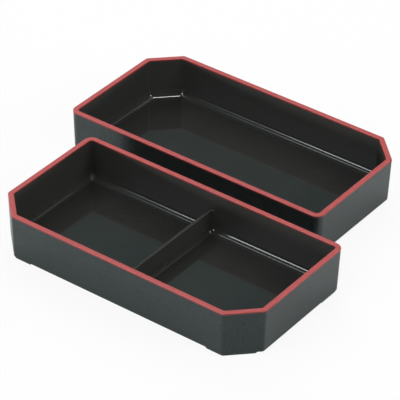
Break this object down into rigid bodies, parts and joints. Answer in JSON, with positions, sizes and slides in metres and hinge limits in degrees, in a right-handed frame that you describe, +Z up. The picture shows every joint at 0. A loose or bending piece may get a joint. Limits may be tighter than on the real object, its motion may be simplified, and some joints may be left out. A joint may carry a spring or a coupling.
{
  "type": "bento box",
  "caption": "Open bento box set of matching half trays in black moulded plastic with cut corners and red rims, the front one divided by a low cross partition.",
  "frame": {"origin": "middle of the set's plan, on the surface that the trays stand on", "axes": "+X along the trays' length, +Y from the front tray to the rear tray, +Z up"},
  "size_m": [0.275, 0.2614, 0.0395],
  "materials": {
    "black_plastic": "black moulded plastic, polished inside, fine matt grain outside",
    "red_lacquer": "satin red lacquer"
  },
  "bodies": {
    "front_half": {"front_tray": "black_plastic", "front_rim": "red_lacquer", "front_partition": "black_plastic"},
    "rear_half": {"rear_tray": "black_plastic", "rear_rim": "red_lacquer"}
  },
  "joints": [
    {"name": "rear_lift", "type": "slide", "parent": "front_half", "child": "rear_half", "axis": [0, 0, 1], "range_m": [0, 0.06]}
  ]
}
